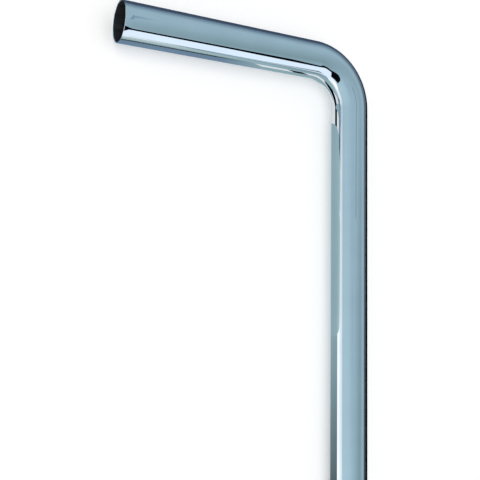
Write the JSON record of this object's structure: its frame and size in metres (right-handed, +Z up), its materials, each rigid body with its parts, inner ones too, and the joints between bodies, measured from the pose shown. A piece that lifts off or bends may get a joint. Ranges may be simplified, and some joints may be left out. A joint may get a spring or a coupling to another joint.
{
  "type": "bent floor waste pipe",
  "caption": "Thin-walled chrome-plated waste pipe bent at a right angle, with a short arm, a long leg and plain square-cut ends.",
  "frame": {"origin": "under the middle of the outline box, on the surface that the pipe lies on", "axes": "+Y along the long leg from its floor end to the bend, -X along the short arm from the bend to its trap end, +Z up off the surface"},
  "size_m": [0.231, 0.716, 0.032],
  "materials": {
    "chrome": "polished chrome plate outside, dull plated bore"
  },
  "bodies": {
    "root": {"waste_pipe": "chrome"}
  },
  "joints": []
}
